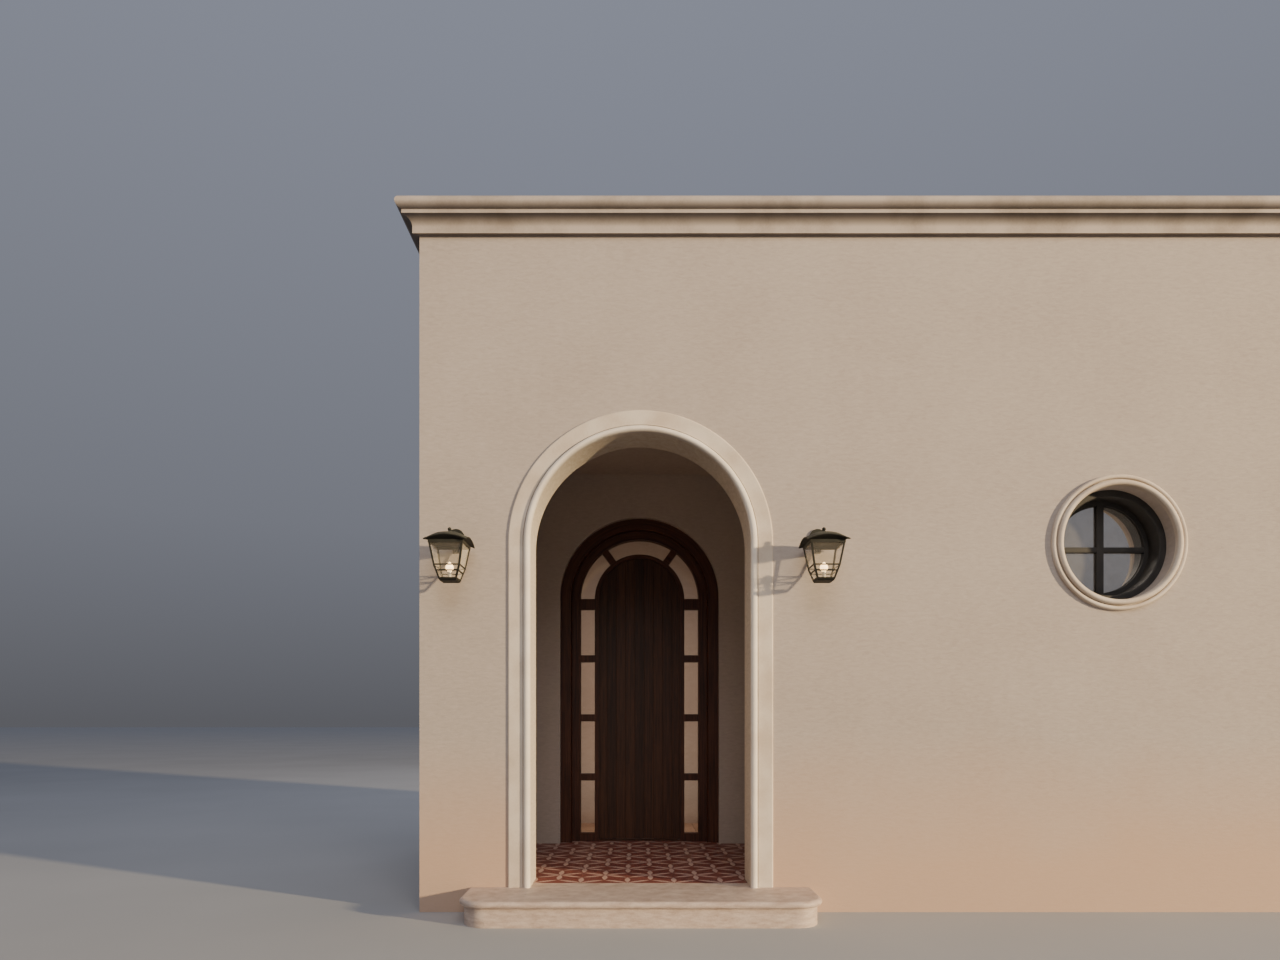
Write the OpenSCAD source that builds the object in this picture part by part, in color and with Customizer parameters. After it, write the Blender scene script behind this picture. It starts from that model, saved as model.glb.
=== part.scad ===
// Arched entrance block of a rendered house: recessed porch, glazed arched door,
// round window, moulded cornice, bullnose step and two wall lanterns.
// Origin: arch centre line, front wall face, ground level. X right, Y into the house, Z up.

/* [Block] */
// Width between the outer corners
block_w = 6440; // [5900:20:7800]
// Ground to the underside of the cornice
wall_h = 4730; // [4300:10:5700]
// Thickness of the outer walls
wall_t = 320; // [240:10:390]
// Corner of the block to the centre line of the arch, and of the round window
corner_to_axis = 1547; // [1500:1:1900]
// Ground to the finished floor
floor_h = 175; // [120:5:240]
// Finished floor to the flat ceiling
ceiling_h = 3495; // [3350:5:3700]
// Thickness of the roof terrace slab
slab_t = 230; // [160:10:300]

/* [Porch and hall] */
// Front wall to the door wall
porch_d = 1780; // [1200:10:2600]
// Thickness of the door wall
door_wall_t = 280; // [250:10:360]
// Door wall to the back wall
hall_d = 1300; // [1000:10:2400]
// Wall between the porch and the room beside it
partition_t = 200; // [100:10:300]

/* [Cornice] */
// Height of the cornice
cornice_h = 220; // [200:5:320]
// How far it stands out from the wall
cornice_out = 138; // [120:2:200]
// Diameter of the roll at its top
cornice_roll_d = 88; // [50:2:100]
// Plain strip under the roll, and how far it stands out
cornice_strip_h = 25; // [15:1:40]
cornice_strip_out = 100; // [65:1:110]
// Radius of the hollow under the strip
cornice_hollow_r = 60; // [40:1:70]

/* [Archway] */
// Clear width between the jambs
arch_w = 1540; // [1200:10:1860]
// Floor to the springing line
arch_spring_h = 2410; // [2000:10:2520]
// Flat band around the arch: width and projection
band_w = 105; // [60:1:140]
band_out = 14; // [12:1:40]
// Groove between band and roll
groove_w = 5; // [3:1:12]
// Roll at the edge of the opening: width and projection
roll_w = 48; // [30:1:70]
roll_out = 38; // [36:1:90]

/* [Step] */
// Width and depth of the tread
step_w = 2400; // [2150:10:2800]
step_d = 495; // [350:1:800]
// Radius of the front corners in plan
step_r = 190; // [80:5:300]
// Thickness of the tread, and its overhang past the riser
tread_t = 48; // [30:1:60]
tread_nose = 30; // [15:1:45]
// How far the tread runs into the archway
tread_in = 150; // [80:5:230]

/* [Entrance door] */
// Overall width of the joinery
door_w = 1504; // [1460:2:1820]
// Floor to the springing line of the door
door_spring_h = 2338; // [2000:1:2560]
// Set back of the casing from the door wall face
casing_set = 60; // [20:5:90]
// Casing width and thickness
casing_w = 104; // [60:1:130]
casing_t = 90; // [50:5:100]
// Width of the outer frame seen inside the casing
stile_w = 77; // [40:1:100]
// Width of the glass border
border_w = 142; // [90:1:180]
// Width of the jamb between glass and leaf
jamb_w = 37; // [34:1:60]
// Depth of frame and jamb
frame_d = 85; // [80:1:100]
// Stop that the leaf closes on: thickness and cover
stop_t = 25; // [15:1:35]
stop_cover = 18; // [12:1:22]
// Running gap around the leaf
leaf_gap = 6; // [5:0.5:8]
// Height of the side panes, measured up from the bottom rail
pane_h = 512; // [380:1:560]
// Bars across the glass border
bar_w = 60; // [30:1:70]
transom_w = 100; // [50:1:120]
bottom_rail_h = 77; // [50:1:140]
// Angle of the two radial bars from the vertical
radial_bar_angle = 36; // [25:1:50]
// Glass thickness
glass_t = 6; // [4:1:12]
// Height of the door sill
sill_h = 15; // [8:1:25]

/* [Door hinges] */
// Number of hinges and length of each
hinge_n = 3; // [2:1:4]
hinge_l = 100; // [70:5:140]
// Radius of knuckle and pin
knuckle_r = 8; // [7:0.5:10]
pin_r = 4; // [3:0.5:5]

/* [Round window] */
// Floor to the centre of the window
window_centre_h = 2410; // [1900:10:2900]
// Clear radius of the opening in the wall
window_r = 398; // [280:1:520]
// Inner bead, groove and outer roll of the surround
window_bead_w = 40; // [25:1:60]
window_groove_w = 6; // [3:1:12]
window_roll_w = 31; // [20:1:50]
// How far bead, groove and roll stand out from the wall
window_bead_out = 45; // [30:1:70]
window_groove_out = 12; // [4:1:20]
window_roll_out = 30; // [26:1:50]
// Frame ring: width, depth and set back from the wall face
ring_w = 46; // [30:1:70]
ring_d = 185; // [80:5:195]
ring_set = 100; // [40:5:105]
// Sash: width of its rim, of the upright where the two leaves meet, and its depth
sash_w = 32; // [20:1:50]
meeting_w = 50; // [40:1:100]
sash_d = 45; // [30:1:60]

/* [Lanterns] */
// Edge of the arch band to the middle of a lantern
lantern_side = 336; // [150:1:350]
// How far the pair stands to the right of the arch's centre line, or to the left if below zero
lantern_shift = -26; // [-60:1:60]
// Wall to the middle of a lantern
lantern_out = 210; // [205:1:300]
// Floor to the underside of a lantern
lantern_h = 2104; // [1600:1:2500]
// Body widths at the base, at the shoulder rail and at the top
lantern_base_w = 122; // [80:2:140]
lantern_shoulder_w = 178; // [150:2:190]
lantern_top_w = 232; // [200:2:240]
// Depth from front to back, as a multiple of the width
lantern_depth = 1.12; // [1:0.01:1.15]
// Heights of the shoulder rail and of the whole body
shoulder_h = 85; // [70:1:140]
body_h = 249; // [200:1:320]
// Width at the eaves, and rise of the roof
eave_w = 282; // [260:2:320]
roof_rise = 71; // [40:1:120]
// Rise of the eaves between the corners, and drop of the corners below the body
eave_arch = 33; // [5:1:45]
eave_drop = 6; // [0:1:12]
// Width of the corner posts
post_w = 12; // [6:1:14]
// Round wall plate: diameter, and how far its top stands above the body
wall_plate_d = 118; // [90:2:130]
wall_plate_top = 140; // [100:1:150]
// Stem below the wall plate: width, and how far its foot is below the top of the body
wall_stem_w = 40; // [26:1:60]
wall_stem_foot = 30; // [22:1:60]

/* [Hidden] */

$fn = 96;
// Seat between curved faces that bear on each other
seat = 0.3;
// Overlap of a cutting shape past the face it cuts
past = 1;

render_colour = "#b9aa99";
moulding_colour = "#d8cabc";
step_colour = "#c9b39a";
tile_colour = "#7a4032";
timber_colour = "#2e1c13";
metal_colour = "#23211f";
pane_colour = "#a08a7880";

// Plan of the block
left_x = -corner_to_axis;
right_x = left_x + block_w;
door_wall_y = wall_t + porch_d;
hall_y = door_wall_y + door_wall_t;
back_y = hall_y + hall_d;
block_d = back_y + wall_t;
porch_half = corner_to_axis - wall_t;
room_x = porch_half + partition_t;
ceiling_z = floor_h + ceiling_h;

// Archway
arch_r = arch_w / 2;
spring_z = floor_h + arch_spring_h;
band_r = arch_r + roll_w + groove_w;

// Entrance door, radii from the outside in
door_r = door_w / 2;
casing_r = door_r - casing_w;
border_r = casing_r - stile_w;
jamb_r = border_r - border_w;
opening_r = jamb_r - jamb_w;
rebate_r = opening_r + stop_cover;
leaf_r = rebate_r - leaf_gap;
door_spring_z = floor_h + door_spring_h;
casing_y = door_wall_y + casing_set;
frame_y = casing_y + casing_t;
frame_back_y = frame_y + frame_d;
leaf_y = frame_y + stop_t + leaf_gap;
leaf_t = frame_back_y - leaf_y;
leaf_z = floor_h + sill_h + leaf_gap;
pane_y = frame_y + frame_d * 0.45;
transom_z = door_spring_z - transom_w;

// Hinges: the pin stands in the gap beside the leaf, behind its inner face
hinge_plate_t = 3;
hinge_margin = 2;
pin_x = -(rebate_r - leaf_gap / 2);
pin_y = frame_back_y + hinge_plate_t + knuckle_r;
knuckle_gap = 0.5;
knuckle_l = (hinge_l - 2 * knuckle_gap) / 3;
first_hinge_z = floor_h + 200;
last_hinge_z = door_spring_z - hinge_l - 150;

// Round window
window_x = right_x - corner_to_axis;
window_z = floor_h + window_centre_h;
surround_r = window_r + window_bead_w + window_groove_w + window_roll_w;
sash_y = ring_set + ring_d - sash_d - 5;
ring_in_r = window_r - seat - ring_w;

// Lanterns
lantern_x = band_r + band_w + lantern_side;
base_plate_t = 12;
body_z = floor_h + lantern_h + base_plate_t;
lower_rail_h = shoulder_h * 0.57;
rail_t = 8;
top_rail_h = 20;
top_rail_t = 6;
// The body stands in from the top rail, and the base plate tapers in towards its underside
rail_step = 2;
pan_taper = 7;
cage_t = 4;
lamp_glass_t = 3;
eave_t = 6;
// Narrow brim outside the dome, and its slope
brim_w = 8;
brim_rise = 2;

// A flat shape drawn in X and Z, from y to y + t
module upright(y, t) {
    translate([0, y + t, 0]) rotate([90, 0, 0]) linear_extrude(t) children();
}

// A box between two corners
module block(low, high) {
    translate(low) cube(high - low);
}

// Round-headed shape about the centre line
module arched(r, base, spring) {
    translate([-r, base]) square([2 * r, spring - base]);
    translate([0, spring]) circle(r);
}

// Ring of even width with straight legs below the springing line
module horseshoe(r_out, r_in, base, spring) {
    difference() {
        arched(r_out, base, spring);
        arched(r_in, base - past, spring);
    }
}

// Moulding that follows the arch: its section has the radius as X and the projection as Y
module arch_run(base, spring) {
    translate([0, 0, spring]) rotate([90, 0, 0]) rotate_extrude(angle = 180) children();
    for (side = [0, 1])
        mirror([side, 0, 0])
            translate([0, 0, base]) mirror([0, 1, 0]) linear_extrude(spring - base) children();
}

// Half-round bead of width w that stands out from the wall
module bead(w, out) {
    intersection() {
        square([w, out]);
        union() {
            square([w, out - w / 2]);
            translate([w / 2, out - w / 2]) circle(w / 2);
        }
    }
}

// Walls

module front_wall_left() {
    color(render_colour) block([left_x, 0, 0], [-arch_r, wall_t, spring_z]);
}

module front_wall_middle() {
    color(render_colour) block([arch_r, 0, 0], [corner_to_axis, wall_t, spring_z]);
}

module front_wall_arch() {
    color(render_colour) upright(0, wall_t) difference() {
        translate([left_x, spring_z]) square([2 * corner_to_axis, wall_h - spring_z]);
        translate([0, spring_z]) circle(arch_r);
    }
}

module front_wall_window() {
    color(render_colour) upright(0, wall_t) difference() {
        translate([corner_to_axis, 0]) square([right_x - corner_to_axis, wall_h]);
        translate([window_x, window_z]) circle(window_r);
    }
}

module left_wall() {
    color(render_colour) block([left_x, wall_t, 0], [left_x + wall_t, block_d, wall_h]);
}

module right_wall() {
    color(render_colour) block([right_x - wall_t, wall_t, 0], [right_x, block_d, wall_h]);
}

module back_wall() {
    color(render_colour)
        block([left_x + wall_t, back_y, 0], [right_x - wall_t, block_d, wall_h + cornice_h]);
}

module porch_side_wall() {
    color(render_colour) block([porch_half, wall_t, 0], [room_x, hall_y, ceiling_z]);
}

module door_wall_left() {
    color(render_colour) block([-porch_half, door_wall_y, 0], [-door_r, hall_y, door_spring_z]);
}

module door_wall_right() {
    color(render_colour) block([door_r, door_wall_y, 0], [porch_half, hall_y, door_spring_z]);
}

module door_wall_head() {
    color(render_colour) upright(door_wall_y, door_wall_t) difference() {
        translate([-porch_half, door_spring_z])
            square([2 * porch_half, ceiling_z - door_spring_z]);
        translate([0, door_spring_z]) circle(door_r);
    }
}

// Floors and terrace

module porch_floor() {
    color(tile_colour) {
        block([-porch_half, wall_t, 0], [porch_half, door_wall_y, floor_h]);
        block([-arch_r, tread_in, 0], [arch_r, wall_t, floor_h]);
        block([-door_r, door_wall_y, 0], [door_r, frame_y, floor_h]);
    }
}

module hall_floor() {
    color(tile_colour) {
        block([-porch_half, hall_y, 0], [right_x - wall_t, back_y, floor_h]);
        block([-door_r, frame_y, 0], [door_r, hall_y, floor_h]);
    }
}

module room_floor() {
    color(tile_colour) block([room_x, wall_t, 0], [right_x - wall_t, hall_y, floor_h]);
}

module terrace_slab() {
    color(render_colour)
        block([-porch_half, wall_t, ceiling_z], [right_x - wall_t, back_y, ceiling_z + slab_t]);
}

// Cornice: the section has the distance out from the wall as X and the height as Y

module cornice_section() {
    roll_r = cornice_roll_d / 2;
    strip_z = cornice_h - cornice_roll_d - cornice_strip_h;
    foot_out = cornice_strip_out - cornice_hollow_r;
    difference() {
        translate([-wall_t, 0]) square([wall_t + cornice_strip_out, strip_z + cornice_strip_h]);
        translate([cornice_strip_out, strip_z - cornice_hollow_r]) circle(cornice_hollow_r);
        translate([foot_out, -past])
            square([cornice_hollow_r + past, strip_z - cornice_hollow_r + past]);
    }
    translate([-wall_t, cornice_h - cornice_roll_d])
        square([wall_t + cornice_out - roll_r, cornice_roll_d]);
    translate([cornice_out - roll_r, cornice_h - roll_r]) circle(roll_r);
}

// Plan of one run, mitred where it turns the corner
module cornice_plan(points) {
    translate([0, 0, wall_h - past]) linear_extrude(cornice_h + 2 * past) polygon(points);
}

module cornice_front() {
    o = cornice_out;
    color(moulding_colour) intersection() {
        translate([right_x + o, 0, wall_h]) rotate([90, 0, -90])
            linear_extrude(block_w + 2 * o) cornice_section();
        cornice_plan([
            [left_x - o, -o], [right_x + o, -o],
            [right_x - wall_t, wall_t], [left_x + wall_t, wall_t]
        ]);
    }
}

module cornice_left() {
    o = cornice_out;
    color(moulding_colour) intersection() {
        translate([left_x, -o, wall_h]) rotate([90, 0, 180])
            linear_extrude(block_d + o) cornice_section();
        cornice_plan([
            [left_x - o, -o], [left_x + wall_t, wall_t],
            [left_x + wall_t, block_d], [left_x - o, block_d]
        ]);
    }
}

module cornice_right() {
    o = cornice_out;
    color(moulding_colour) intersection() {
        translate([right_x, block_d, wall_h]) rotate([90, 0, 0])
            linear_extrude(block_d + o) cornice_section();
        cornice_plan([
            [right_x + o, -o], [right_x + o, block_d],
            [right_x - wall_t, block_d], [right_x - wall_t, wall_t]
        ]);
    }
}

// Arch surround

module arch_band() {
    edge_r = 12;
    color(moulding_colour) arch_run(floor_h, spring_z) translate([band_r, 0]) intersection() {
        square([band_w, band_out]);
        union() {
            square([band_w, band_out - edge_r]);
            square([band_w - edge_r, band_out]);
            translate([band_w - edge_r, band_out - edge_r]) circle(edge_r);
        }
    }
}

module arch_roll() {
    color(moulding_colour) arch_run(floor_h, spring_z)
        translate([arch_r, 0]) bead(roll_w, roll_out);
}

// Step

module step_plan(inset) {
    half = step_w / 2 - inset;
    d = step_d - inset;
    r = step_r - inset;
    translate([-half, -d + r]) square([2 * half, d - r]);
    translate([-half + r, -d]) square([2 * (half - r), r]);
    for (side = [-1, 1]) translate([side * (half - r), -d + r]) circle(r);
}

module step_riser() {
    color(step_colour) {
        linear_extrude(floor_h - tread_t) step_plan(tread_nose);
        block([-arch_r, -past, 0], [arch_r, tread_in, floor_h - tread_t]);
    }
}

module step_tread() {
    r = tread_t / 2;
    half = step_w / 2;
    color(step_colour) translate([0, 0, floor_h - r]) {
        translate([0, 0, -r]) linear_extrude(tread_t) step_plan(r);
        translate([-(half - step_r), -step_d + r, 0])
            rotate([0, 90, 0]) cylinder(h = step_w - 2 * step_r, r = r);
        for (side = [0, 1]) mirror([side, 0, 0]) {
            translate([half - r, -step_d + step_r, 0])
                rotate([-90, 0, 0]) cylinder(h = step_d - step_r, r = r);
            translate([half - step_r, -step_d + step_r, 0])
                rotate([0, 0, -90]) rotate_extrude(angle = 90) translate([step_r - r, 0]) circle(r);
        }
        block([-arch_r, -past, -r], [arch_r, tread_in, r]);
    }
}

// Entrance door

module door_casing() {
    ease = 8;
    color(timber_colour) translate([0, frame_y, 0]) arch_run(floor_h, door_spring_z)
        polygon([
            [casing_r, 0], [door_r - seat, 0], [door_r - seat, casing_t],
            [casing_r + ease, casing_t], [casing_r, casing_t - ease]
        ]);
}

module door_frame() {
    color(timber_colour) upright(frame_y, frame_d)
        horseshoe(door_r - seat, border_r, floor_h, door_spring_z);
}

// The jamb is rebated behind the stop for the leaf
module door_jamb() {
    color(timber_colour) {
        upright(frame_y, stop_t) horseshoe(jamb_r, opening_r, floor_h, door_spring_z);
        upright(frame_y + stop_t, frame_d - stop_t)
            horseshoe(jamb_r, rebate_r, floor_h, door_spring_z);
    }
}

// Bars across the glass border, drawn right across: the border cuts them to length
module bar_layout() {
    bottom_z = floor_h + bottom_rail_h;
    translate([-door_r, floor_h]) square([door_w, bottom_rail_h]);
    for (i = [1:3])
        translate([-door_r, bottom_z + i * pane_h + (i - 1) * bar_w]) square([door_w, bar_w]);
    translate([-door_r, transom_z]) square([door_w, transom_w]);
    for (side = [-1, 1])
        translate([0, door_spring_z]) rotate(side * radial_bar_angle)
            translate([-bar_w / 2, 0]) square([bar_w, door_r]);
}

module glass_border() {
    horseshoe(border_r - seat, jamb_r + seat, floor_h, door_spring_z);
}

module door_bars() {
    color(timber_colour) upright(frame_y + 4, frame_d - 8) intersection() {
        glass_border();
        bar_layout();
    }
}

module door_glass() {
    color(pane_colour) upright(pane_y, glass_t) difference() {
        glass_border();
        bar_layout();
    }
}

module door_sill() {
    color(timber_colour)
        block([-opening_r, frame_y, floor_h], [opening_r, frame_back_y, floor_h + sill_h]);
}

module door_leaf() {
    color(timber_colour) upright(leaf_y, leaf_t) arched(leaf_r, leaf_z, door_spring_z);
}

// Places its children at the foot of each hinge pin
module at_hinges() {
    pitch = (last_hinge_z - first_hinge_z) / (hinge_n - 1);
    for (i = [0:hinge_n - 1]) translate([pin_x, pin_y, first_hinge_z + i * pitch]) children();
}

// Plate and pin on the jamb, with the upper and lower knuckles
module door_hinges() {
    plate_l = jamb_r - rebate_r - 2 * hinge_margin;
    web_l = leaf_gap / 2 + 6;
    color(metal_colour) at_hinges() {
        translate([-leaf_gap / 2 - hinge_margin - plate_l, frame_back_y - pin_y, 0])
            cube([plate_l, hinge_plate_t, hinge_l]);
        for (z = [0, hinge_l - knuckle_l]) translate([0, 0, z]) {
            cylinder(h = knuckle_l, r = knuckle_r);
            translate([-web_l, frame_back_y - pin_y, 0])
                cube([web_l, pin_y - frame_back_y, knuckle_l]);
        }
        cylinder(h = hinge_l, r = pin_r);
    }
}

// Plate on the leaf with the middle knuckle, bored for the pin
module leaf_hinges() {
    plate_l = 45;
    web_l = knuckle_r + 4;
    color(metal_colour) at_hinges() difference() {
        union() {
            translate([leaf_gap / 2 + hinge_margin, frame_back_y - pin_y, 0])
                cube([plate_l, hinge_plate_t, hinge_l]);
            translate([0, 0, knuckle_l + knuckle_gap]) {
                cylinder(h = knuckle_l, r = knuckle_r);
                translate([0, frame_back_y - pin_y, 0])
                    cube([web_l, pin_y - frame_back_y, knuckle_l]);
            }
        }
        translate([0, 0, -past]) cylinder(h = hinge_l + 2 * past, r = pin_r + seat);
    }
}

// Round window

// A turned section about the window's axis, with the projection from the plane y as Y
module window_turning(y) {
    translate([window_x, y, window_z]) rotate([90, 0, 0]) rotate_extrude() children();
}

module window_surround() {
    color(moulding_colour) window_turning(0) {
        translate([window_r, 0]) square([surround_r - window_r, window_groove_out]);
        translate([window_r, 0]) bead(window_bead_w, window_bead_out);
        translate([surround_r - window_roll_w, 0]) bead(window_roll_w, window_roll_out);
    }
}

module window_frame() {
    ease = 6;
    color(metal_colour) window_turning(ring_set + ring_d)
        polygon([
            [ring_in_r, 0], [window_r - seat, 0], [window_r - seat, ring_d],
            [ring_in_r + ease, ring_d], [ring_in_r, ring_d - ease]
        ]);
}

module window_sash() {
    r = ring_in_r - seat;
    color(metal_colour) upright(sash_y, sash_d) translate([window_x, window_z]) {
        difference() {
            circle(r);
            circle(r - sash_w);
        }
        intersection() {
            circle(r);
            square([meeting_w, 2 * r + 2], center = true);
        }
    }
}

module window_glass() {
    color(pane_colour) upright(sash_y + sash_d / 2, glass_t) translate([window_x, window_z])
        difference() {
            circle(ring_in_r - sash_w - 2 * seat);
            square([meeting_w, 2 * window_r], center = true);
        }
}

// Wall lanterns, each drawn at its middle with the top of its base plate at zero

module at_lantern(side) {
    translate([side * lantern_x + lantern_shift, -lantern_out, body_z]) children();
}

// Half-widths of the body against height, brought in by inset
function body_outline(inset) = [
    [lantern_base_w / 2 - inset, 0],
    [lantern_shoulder_w / 2 - inset, shoulder_h],
    [lantern_top_w / 2 - inset - rail_step, body_h - top_rail_h]
];

// Full outline from the right-hand half
function mirrored(half) = concat(half, [for (i = [len(half) - 1:-1:0]) [-half[i][0], half[i][1]]]);

// Four-sided body: the same outline seen from the front and, stretched to the depth, from the side
module square_body(w) {
    d = w * lantern_depth;
    intersection() {
        translate([0, d / 2, 0]) rotate([90, 0, 0]) linear_extrude(d) children();
        rotate([0, 0, 90]) translate([0, w / 2, 0]) rotate([90, 0, 0])
            linear_extrude(w) scale([lantern_depth, 1]) children();
    }
}

// Block centred on the lantern, from z to z + h
module lantern_block(half, z, h) {
    d = half * lantern_depth;
    block([-half, -d, z], [half, d, z + h]);
}

// Half-width of the body face at a height
function face_half(z) = z < shoulder_h
    ? (lantern_base_w + (lantern_shoulder_w - lantern_base_w) * z / shoulder_h) / 2
    : (lantern_shoulder_w + (lantern_top_w - 2 * rail_step - lantern_shoulder_w)
        * (z - shoulder_h) / (body_h - top_rail_h - shoulder_h)) / 2;

// Opening of one pane between two rails
module pane_opening(low, high) {
    polygon(mirrored([
        [face_half(low) - post_w, low],
        [face_half(high) - post_w, high]
    ]));
}

module pane_openings() {
    pane_opening(rail_t, lower_rail_h);
    pane_opening(lower_rail_h + rail_t, shoulder_h);
    pane_opening(shoulder_h + rail_t, body_h - top_rail_h);
}

module lantern_cage() {
    w = lantern_top_w;
    pan = [lantern_base_w / 2 - pan_taper, -base_plate_t];
    color(metal_colour) difference() {
        union() {
            square_body(w) polygon(mirrored(concat([pan], body_outline(0))));
            lantern_block(w / 2, body_h - top_rail_h, top_rail_h);
        }
        square_body(w) polygon(mirrored(body_outline(cage_t)));
        lantern_block(w / 2 - top_rail_t, body_h - top_rail_h - past, top_rail_h + 2 * past);
        translate([0, w, 0]) rotate([90, 0, 0]) linear_extrude(2 * w) pane_openings();
        rotate([0, 0, 90]) translate([0, w, 0]) rotate([90, 0, 0])
            linear_extrude(2 * w) scale([lantern_depth, 1]) pane_openings();
    }
}

module lantern_glass() {
    w = lantern_top_w;
    color(pane_colour) difference() {
        square_body(w) polygon(mirrored(body_outline(cage_t)));
        square_body(w) polygon(mirrored(body_outline(cage_t + lamp_glass_t)));
    }
}

// Bulb that stands on its holder, with the tip up
module lantern_bulb() {
    holder_h = 58;
    holder_r = 13;
    bulb_r = 27;
    bulb_h = 66;
    shoulder_r = 23;
    tip_r = 4;
    bulb_foot = holder_h - 2;
    shoulder_z = bulb_foot + bulb_r + 12;
    color("#f4e2bd") {
        cylinder(h = holder_h, r = holder_r);
        translate([0, 0, bulb_foot + bulb_r]) sphere(bulb_r, $fn = 40);
        translate([0, 0, shoulder_z])
            cylinder(h = bulb_foot + bulb_h - shoulder_z, r1 = shoulder_r, r2 = tip_r);
    }
}

// Domed roof: square rings that rise from arched eaves to a small flat top

function ring_point(half, z, arch, side, u) =
    let (x = half, y = half * u, c = [1, 0, -1, 0][side], s = [0, 1, 0, -1][side])
    [x * c - y * s, (x * s + y * c) * lantern_depth, z + arch * (1 - u * u)];

function ring(half, z, arch, n) = [
    for (side = [0:3]) for (i = [0:n - 1]) ring_point(half, z, arch, side, 2 * i / n - 1)
];

module lantern_roof() {
    n = 8;
    steps = 8;
    top_half = 20;
    neck_foot_r = 19;
    neck_top_r = 9;
    neck_h = 12;
    ball_r = 13;
    ball_sink = 2;
    eave_half = eave_w / 2;
    dome_half = eave_half - brim_w;
    brim_z = eave_t + brim_rise - eave_drop;
    seat_half = lantern_top_w / 2;
    rings = concat(
        [
            ring(seat_half, 0, 0, n), ring(eave_half, -eave_drop, eave_arch, n),
            ring(eave_half, eave_t - eave_drop, eave_arch, n)
        ],
        [for (i = [0:steps]) let (t = i / steps)
            ring(dome_half + (top_half - dome_half) * t,
                brim_z + (roof_rise - brim_z) * sin(90 * t),
                eave_arch * pow(1 - t, 2), n)]
    );
    m = 4 * n;
    last = len(rings) - 1;
    foot = len(rings) * m;
    sides = [
        for (k = [0:last - 1]) for (j = [0:m - 1])
            let (a = k * m + j, b = k * m + (j + 1) % m)
            each [[a, b + m, b], [a, a + m, b + m]]
    ];
    underside = [for (j = [0:m - 1]) [foot, j, (j + 1) % m]];
    top = [for (j = [0:m - 1]) [foot + 1, last * m + (j + 1) % m, last * m + j]];
    color(metal_colour) translate([0, 0, body_h]) {
        polyhedron(
            points = concat([for (r = rings) each r], [[0, 0, 0], [0, 0, roof_rise]]),
            faces = concat(sides, underside, top)
        );
        translate([0, 0, roof_rise]) {
            cylinder(h = neck_h, r1 = neck_foot_r, r2 = neck_top_r, $fn = 24);
            translate([0, 0, neck_h + ball_r - ball_sink]) sphere(ball_r, $fn = 24);
        }
    }
}

// Round plate and stem on the wall, arm to the top rail and a curved brace over the arm
module lantern_bracket() {
    plate_t = 12;
    arm_w = 24;
    arm_h = 18;
    arm_l = lantern_out - lantern_top_w * lantern_depth / 2 - plate_t;
    arm_top = body_h - 1;
    plate_z = body_h + wall_plate_top - wall_plate_d / 2;
    brace_t = 10;
    brace_r = arm_l * 0.6;
    color(metal_colour) translate([0, lantern_out, 0]) {
        upright(-plate_t, plate_t) {
            translate([0, plate_z]) circle(wall_plate_d / 2);
            translate([-wall_stem_w / 2, body_h - wall_stem_foot])
                square([wall_stem_w, plate_z - body_h + wall_stem_foot]);
        }
        block([-arm_w / 2, -plate_t - arm_l, arm_top - arm_h], [arm_w / 2, -plate_t, arm_top]);
        translate([-brace_t / 2, -plate_t - brace_r, arm_top + brace_r]) rotate([0, 90, 0])
            rotate_extrude(angle = 90) translate([brace_r - brace_t / 2, 0]) square(brace_t);
    }
}

front_wall_left();
front_wall_middle();
front_wall_arch();
front_wall_window();
left_wall();
right_wall();
back_wall();
porch_side_wall();
door_wall_left();
door_wall_right();
door_wall_head();
porch_floor();
hall_floor();
room_floor();
terrace_slab();
cornice_front();
cornice_left();
cornice_right();
arch_band();
arch_roll();
step_riser();
step_tread();
door_casing();
door_frame();
door_jamb();
door_bars();
door_glass();
door_sill();
door_hinges();
door_leaf();
leaf_hinges();
window_surround();
window_frame();
window_sash();
window_glass();
at_lantern(-1) lantern_bracket();  // left_lantern_bracket
at_lantern(-1) lantern_cage();  // left_lantern_cage
at_lantern(-1) lantern_glass();  // left_lantern_glass
at_lantern(-1) lantern_bulb();  // left_lantern_bulb
at_lantern(-1) lantern_roof();  // left_lantern_roof
at_lantern(1) lantern_bracket();  // right_lantern_bracket
at_lantern(1) lantern_cage();  // right_lantern_cage
at_lantern(1) lantern_glass();  // right_lantern_glass
at_lantern(1) lantern_bulb();  // right_lantern_bulb
at_lantern(1) lantern_roof();  // right_lantern_roof
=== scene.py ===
import math
import bmesh
import bpy
from mathutils import Matrix, Vector


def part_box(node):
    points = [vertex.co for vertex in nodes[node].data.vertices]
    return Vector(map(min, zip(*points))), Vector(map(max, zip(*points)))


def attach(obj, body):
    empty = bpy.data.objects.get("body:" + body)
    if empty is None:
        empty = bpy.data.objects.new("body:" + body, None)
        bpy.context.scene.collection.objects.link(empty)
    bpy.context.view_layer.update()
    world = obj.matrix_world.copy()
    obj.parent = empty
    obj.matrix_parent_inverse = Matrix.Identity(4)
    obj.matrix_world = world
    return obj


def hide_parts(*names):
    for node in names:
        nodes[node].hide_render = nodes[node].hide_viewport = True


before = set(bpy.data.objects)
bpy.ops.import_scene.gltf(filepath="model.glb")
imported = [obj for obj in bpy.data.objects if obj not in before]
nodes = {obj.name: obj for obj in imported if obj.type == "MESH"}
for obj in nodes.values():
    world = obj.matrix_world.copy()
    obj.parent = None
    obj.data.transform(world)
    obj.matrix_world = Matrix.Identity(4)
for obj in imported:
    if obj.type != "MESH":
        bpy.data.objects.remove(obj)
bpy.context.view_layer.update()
print("frame loaded:", len(nodes), "nodes")

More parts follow.
